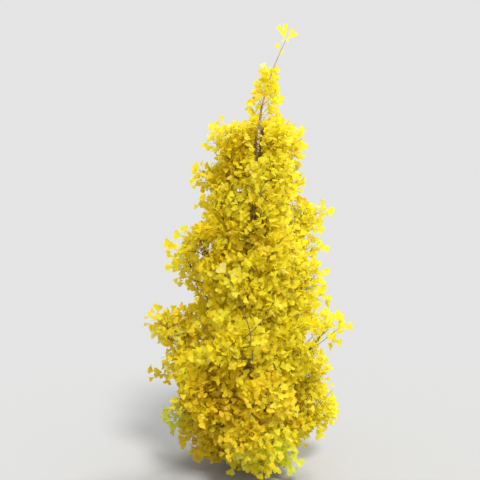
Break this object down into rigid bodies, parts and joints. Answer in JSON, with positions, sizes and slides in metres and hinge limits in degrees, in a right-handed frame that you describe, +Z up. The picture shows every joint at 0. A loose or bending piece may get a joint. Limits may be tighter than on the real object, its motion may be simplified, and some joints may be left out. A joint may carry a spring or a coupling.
{
  "type": "young columnar ginkgo tree",
  "caption": "Young columnar ginkgo tree in full yellow autumn leaf: a slim leaning trunk, ascending boughs and dense masses of fan-shaped leaves nearly down to the ground.",
  "frame": {"origin": "middle of the flat cut under the trunk, at ground level", "axes": "+Z up along the trunk from the ground, +X to the right and +Y away as seen from the front"},
  "size_m": [1.235, 1.3042, 2.6731],
  "materials": {
    "bark": "rough grey-brown bark",
    "foliage_gold": "matt golden autumn leaves",
    "foliage_lemon": "matt lemon-yellow autumn leaves"
  },
  "bodies": {
    "root": {"bough_2_1": "bark", "bough_2_2": "bark", "bough_2_3": "bark", "bough_2_4": "bark", "bough_3_1": "bark", "bough_3_2": "bark", "bough_3_3": "bark", "bough_3_4": "bark", "bough_3_5": "bark", "bough_4_1": "bark", "bough_4_2": "bark", "bough_4_3": "bark", "bough_4_4": "bark", "bough_4_5": "bark", "bough_5_1": "bark", "bough_5_2": "bark", "bough_5_3": "bark", "bough_5_4": "bark", "foliage_1_1": "foliage_lemon", "foliage_1_2": "foliage_gold", "foliage_1_3": "foliage_gold", "foliage_1_4": "foliage_lemon", "foliage_2_1": "foliage_gold", "foliage_2_2": "foliage_lemon", "foliage_2_3": "foliage_lemon", "foliage_2_4": "foliage_gold", "foliage_3_1": "foliage_lemon", "foliage_3_2": "foliage_lemon", "foliage_3_3": "foliage_gold", "foliage_3_4": "foliage_gold", "foliage_3_5": "foliage_lemon", "foliage_4_1": "foliage_gold", "foliage_4_2": "foliage_gold", "foliage_4_3": "foliage_lemon", "foliage_4_4": "foliage_lemon", "foliage_4_5": "foliage_gold", "foliage_5_1": "foliage_lemon", "foliage_5_2": "foliage_lemon", "foliage_5_3": "foliage_gold", "foliage_5_4": "foliage_lemon", "foliage_6_1": "foliage_gold", "foliage_6_2": "foliage_lemon", "foliage_6_3": "foliage_lemon", "foliage_6_4": "foliage_gold", "foliage_7_1": "foliage_lemon", "foliage_7_2": "foliage_gold", "foliage_7_3": "foliage_gold", "foliage_7_4": "foliage_lemon", "foliage_8_1": "foliage_gold", "foliage_8_2": "foliage_lemon", "foliage_8_3": "foliage_lemon", "foliage_9_1": "foliage_lemon", "foliage_9_2": "foliage_gold", "foliage_9_3": "foliage_gold", "foliage_9_4": "foliage_lemon", "foliage_leader": "foliage_lemon", "trunk": "bark"}
  },
  "joints": []
}
